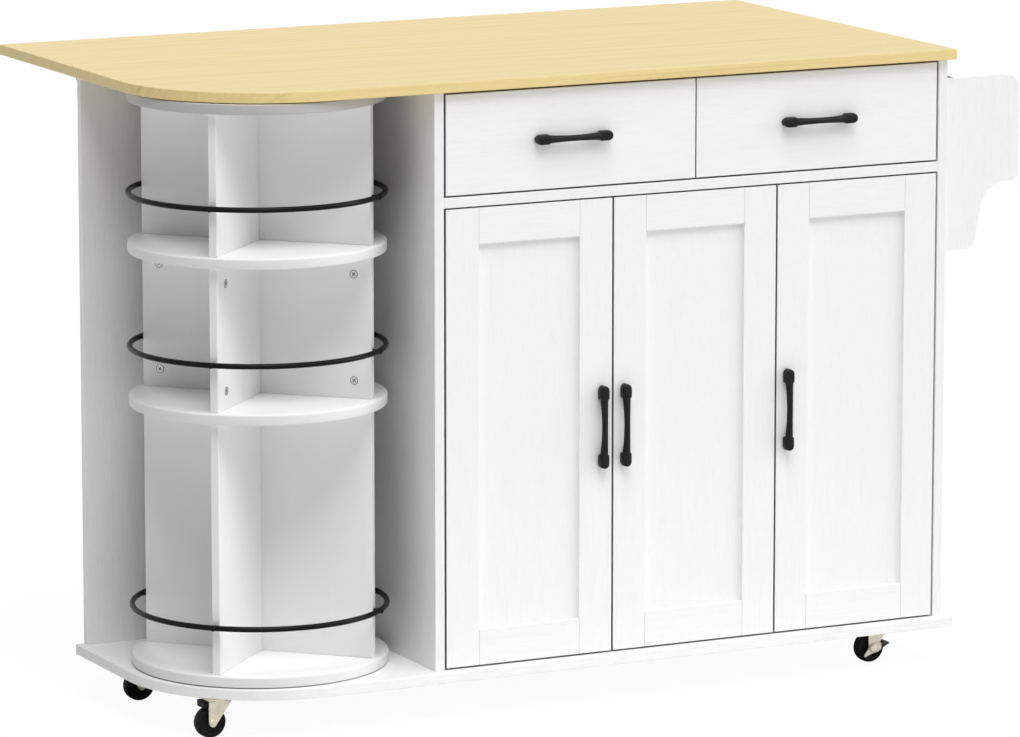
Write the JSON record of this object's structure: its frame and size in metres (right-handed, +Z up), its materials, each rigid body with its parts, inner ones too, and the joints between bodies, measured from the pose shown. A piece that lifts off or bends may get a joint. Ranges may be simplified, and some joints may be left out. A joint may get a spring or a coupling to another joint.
{
  "type": "drop leaf kitchen island",
  "caption": "White kitchen island on casters with a folding oak leaf, drawers, doors, a rotating shelf column in an open bay and a side rack.",
  "frame": {"origin": "on the floor, midway along the island's overall length and depth", "axes": "+X towards the side rack, +Y towards the drop leaf at the back, +Z up"},
  "size_m": [1.36, 0.6884, 0.927],
  "materials": {
    "white_board": "white laminate with embossed wood grain",
    "oak_board": "printed oak laminate, satin",
    "black_metal": "satin black",
    "zinc_steel": "zinc plated",
    "black_plastic": "matt black"
  },
  "bodies": {
    "carcass": {"base_plate": "white_board", "left_side_panel": "white_board", "right_side_panel": "white_board", "bay_back_panel": "white_board", "cabinet_back_panel": "white_board", "partition_panel": "white_board", "drawer_deck": "white_board", "drawer_divider": "white_board", "top_rails": "white_board", "fixed_top": "oak_board", "cabinet_shelves": "white_board", "shelf_pins": "zinc_steel", "slide_cabinet_members": "zinc_steel", "hinge_arms": "zinc_steel", "bracket_wall_plates": "zinc_steel", "caster_plates": "zinc_steel", "rack_end_panels": "white_board", "rack_shelf": "white_board", "rack_rails": "black_metal", "turntable_pivots": "zinc_steel"},
    "turntable": {"turntable_bottom_disc": "white_board", "turntable_lower_shelf": "white_board", "turntable_upper_shelf": "white_board", "turntable_top_disc": "white_board", "lower_tier_cross": "white_board", "middle_tier_cross": "white_board", "upper_tier_cross": "white_board", "guard_rings": "black_metal"},
    "left_drawer": {"left_drawer_front": "white_board", "left_drawer_box": "white_board", "left_drawer_pull": "black_metal", "left_drawer_slides": "zinc_steel"},
    "right_drawer": {"right_drawer_front": "white_board", "right_drawer_box": "white_board", "right_drawer_pull": "black_metal", "right_drawer_slides": "zinc_steel"},
    "left_door_leaf": {"left_door": "white_board", "left_door_hinge_cups": "zinc_steel", "left_door_pull": "black_metal"},
    "middle_door_leaf": {"middle_door": "white_board", "middle_door_hinge_cups": "zinc_steel", "middle_door_pull": "black_metal"},
    "right_door_leaf": {"right_door": "white_board", "right_door_hinge_cups": "zinc_steel", "right_door_pull": "black_metal"},
    "leaf": {"drop_leaf": "oak_board", "bracket_arms": "zinc_steel"},
    "lower_links": {"bracket_lower_links": "zinc_steel"},
    "upper_links": {"bracket_upper_links": "zinc_steel"},
    "front_left_swivel": {"front_left_fork": "zinc_steel"},
    "front_left_roller": {"front_left_wheel": "black_plastic"},
    "front_right_swivel": {"front_right_fork": "zinc_steel"},
    "front_right_roller": {"front_right_wheel": "black_plastic"},
    "back_left_swivel": {"back_left_fork": "zinc_steel"},
    "back_left_roller": {"back_left_wheel": "black_plastic"},
    "back_right_swivel": {"back_right_fork": "zinc_steel"},
    "back_right_roller": {"back_right_wheel": "black_plastic"},
    "front_right_pedal": {"front_right_brake": "black_plastic"},
    "front_left_pedal": {"front_left_brake": "black_plastic"}
  },
  "joints": [
    {"name": "turntable_spin", "type": "hinge", "parent": "carcass", "child": "turntable", "pos_m": [-0.481, -0.14675, 0.074], "axis": [0, 0, 1], "continuous": true},
    {"name": "left_drawer_slide", "type": "slide", "parent": "carcass", "child": "left_drawer", "axis": [0, -1, 0], "range_m": [0, 0.255]},
    {"name": "right_drawer_slide", "type": "slide", "parent": "carcass", "child": "right_drawer", "axis": [0, -1, 0], "range_m": [0, 0.255]},
    {"name": "left_door_hinge", "type": "hinge", "parent": "carcass", "child": "left_door_leaf", "pos_m": [-0.2597, -0.32175, 0.41], "axis": [0, 0, -1], "range_deg": [0, 105]},
    {"name": "middle_door_hinge", "type": "hinge", "parent": "carcass", "child": "middle_door_leaf", "pos_m": [0.2588, -0.32175, 0.41], "axis": [0, 0, 1], "range_deg": [0, 105]},
    {"name": "right_door_hinge", "type": "hinge", "parent": "carcass", "child": "right_door_leaf", "pos_m": [0.5277, -0.32175, 0.41], "axis": [0, 0, 1], "range_deg": [0, 105]},
    {"name": "leaf_fold", "type": "hinge", "parent": "carcass", "child": "leaf", "pos_m": [-0.056, 0.08125, 0.898], "axis": [-1, 0, 0], "range_deg": [0, 90]},
    {"name": "lower_link_swing", "type": "hinge", "parent": "carcass", "child": "lower_links", "pos_m": [-0.056, 0.08125, 0.668], "axis": [1, 0, 0], "range_deg": [0, 33.13]},
    {"name": "upper_link_swing", "type": "hinge", "parent": "leaf", "child": "upper_links", "pos_m": [-0.056, 0.23125, 0.898], "axis": [-1, 0, 0], "range_deg": [0, 56.91]},
    {"name": "front_left_swivel_turn", "type": "hinge", "parent": "carcass", "child": "front_left_swivel", "pos_m": [-0.602, -0.26625, 0.029], "axis": [0, 0, 1], "continuous": true},
    {"name": "front_left_wheel_roll", "type": "hinge", "parent": "front_left_swivel", "child": "front_left_roller", "pos_m": [-0.614, -0.26625, 0.0225], "axis": [0, 1, 0], "continuous": true},
    {"name": "front_right_swivel_turn", "type": "hinge", "parent": "carcass", "child": "front_right_swivel", "pos_m": [0.476, -0.26625, 0.029], "axis": [0, 0, 1], "continuous": true},
    {"name": "front_right_wheel_roll", "type": "hinge", "parent": "front_right_swivel", "child": "front_right_roller", "pos_m": [0.464, -0.26625, 0.0225], "axis": [0, 1, 0], "continuous": true},
    {"name": "back_left_swivel_turn", "type": "hinge", "parent": "carcass", "child": "back_left_swivel", "pos_m": [-0.602, -0.00875, 0.029], "axis": [0, 0, 1], "continuous": true},
    {"name": "back_left_wheel_roll", "type": "hinge", "parent": "back_left_swivel", "child": "back_left_roller", "pos_m": [-0.614, -0.00875, 0.0225], "axis": [0, 1, 0], "continuous": true},
    {"name": "back_right_swivel_turn", "type": "hinge", "parent": "carcass", "child": "back_right_swivel", "pos_m": [0.476, -0.00875, 0.029], "axis": [0, 0, 1], "continuous": true},
    {"name": "back_right_wheel_roll", "type": "hinge", "parent": "back_right_swivel", "child": "back_right_roller", "pos_m": [0.464, -0.00875, 0.0225], "axis": [0, 1, 0], "continuous": true},
    {"name": "front_right_brake_press", "type": "hinge", "parent": "front_right_swivel", "child": "front_right_pedal", "pos_m": [0.464, -0.26625, 0.0225], "axis": [0, 1, 0], "range_deg": [0, 12]},
    {"name": "front_left_brake_press", "type": "hinge", "parent": "front_left_swivel", "child": "front_left_pedal", "pos_m": [-0.613, -0.26625, 0.0485], "axis": [0, -1, 0], "range_deg": [0, 5]}
  ],
  "couplings": [
    {"joint": "lower_link_swing", "follows": "leaf_fold", "ratio": 0.3679},
    {"joint": "upper_link_swing", "follows": "leaf_fold", "ratio": 0.6321}
  ]
}
